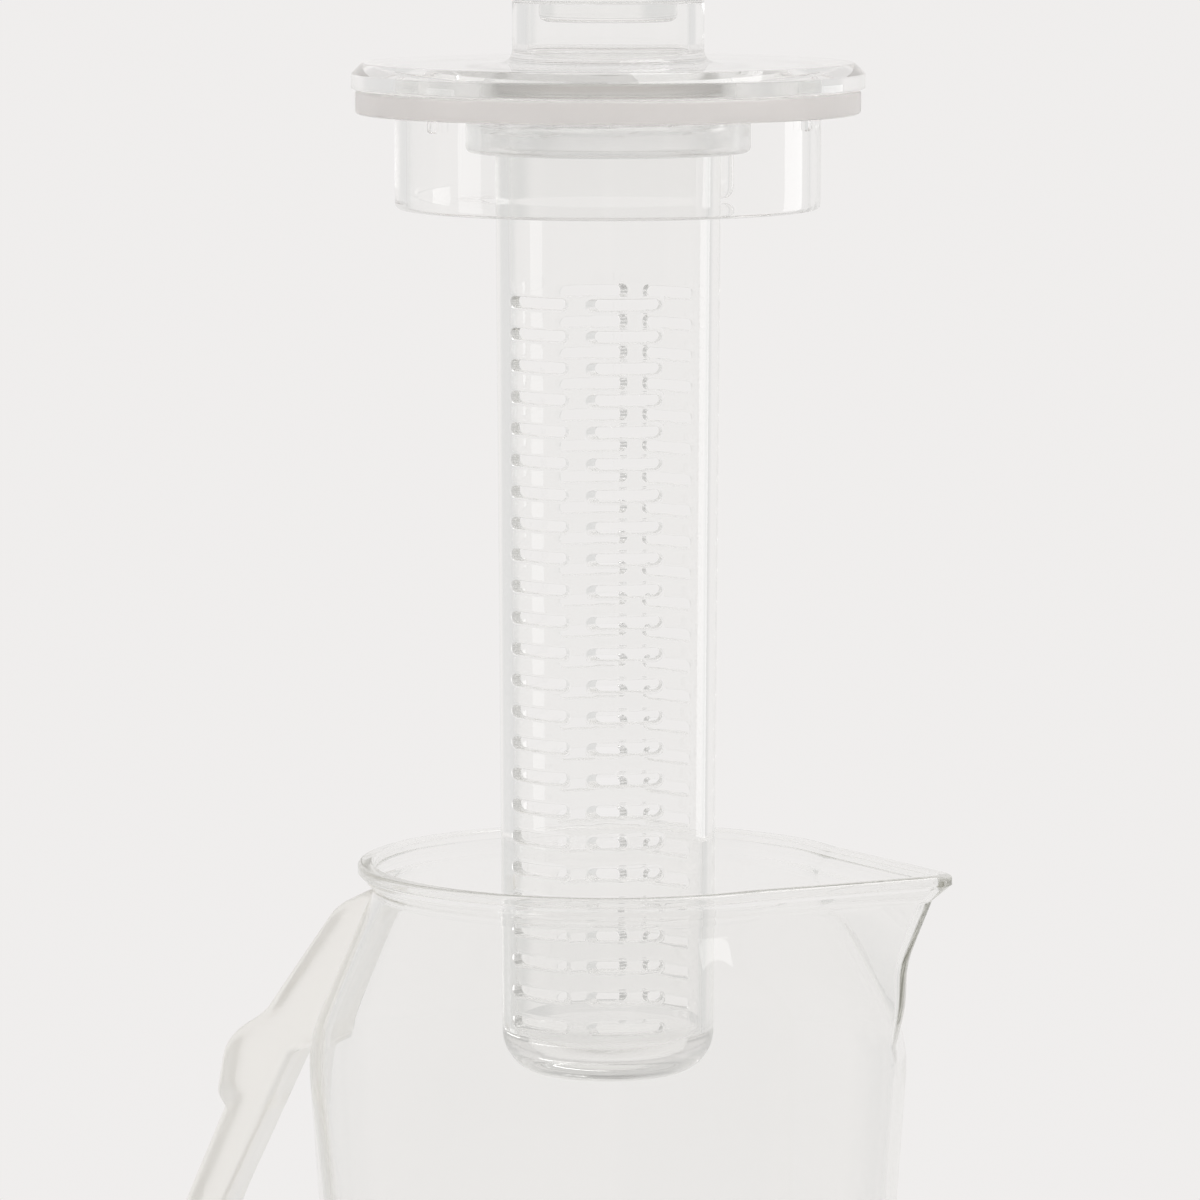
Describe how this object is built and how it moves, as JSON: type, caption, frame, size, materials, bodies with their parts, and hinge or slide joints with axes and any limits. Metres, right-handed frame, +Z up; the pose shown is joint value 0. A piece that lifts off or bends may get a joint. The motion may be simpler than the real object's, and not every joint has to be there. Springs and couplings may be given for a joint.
{
  "type": "fruit infuser pitcher",
  "caption": "Clear pitcher with a spout and strap handle, and a lift-out lid that carries a slotted infuser tube on a screw thread.",
  "frame": {"origin": "middle of the jar's flat underside", "axes": "+Z up along the jar's axis, +X towards the spout, -X towards the handle"},
  "size_m": [0.1935, 0.1419, 0.4482],
  "materials": {
    "clear_acrylic": "polished, water clear",
    "milky_silicone": "matt, translucent white"
  },
  "bodies": {
    "jar": {"pitcher_body": "clear_acrylic", "handle": "clear_acrylic"},
    "gasket": {"lid_gasket": "milky_silicone"},
    "lid": {"lid_cover": "clear_acrylic", "knob_cap": "clear_acrylic", "lid_plug": "clear_acrylic"},
    "seal": {"socket_seal": "milky_silicone"},
    "infuser": {"infuser_tube": "clear_acrylic"}
  },
  "joints": [
    {"name": "lid_lift", "type": "slide", "parent": "jar", "child": "gasket", "axis": [0, 0, 1], "range_m": [-0.1765, 0.06]},
    {"name": "lid_turn", "type": "hinge", "parent": "gasket", "child": "lid", "pos_m": [0, 0, 0.4168], "axis": [0, 0, 1], "continuous": true},
    {"name": "tube_advance", "type": "slide", "parent": "lid", "child": "seal", "axis": [0, 0, -1], "range_m": [0, 0.006]},
    {"name": "tube_unscrew", "type": "hinge", "parent": "seal", "child": "infuser", "pos_m": [0, 0, 0.4168], "axis": [0, 0, -1], "range_deg": [0, 540]}
  ],
  "couplings": [
    {"joint": "tube_advance", "follows": "tube_unscrew", "m_per_rad": 0.00063661}
  ]
}
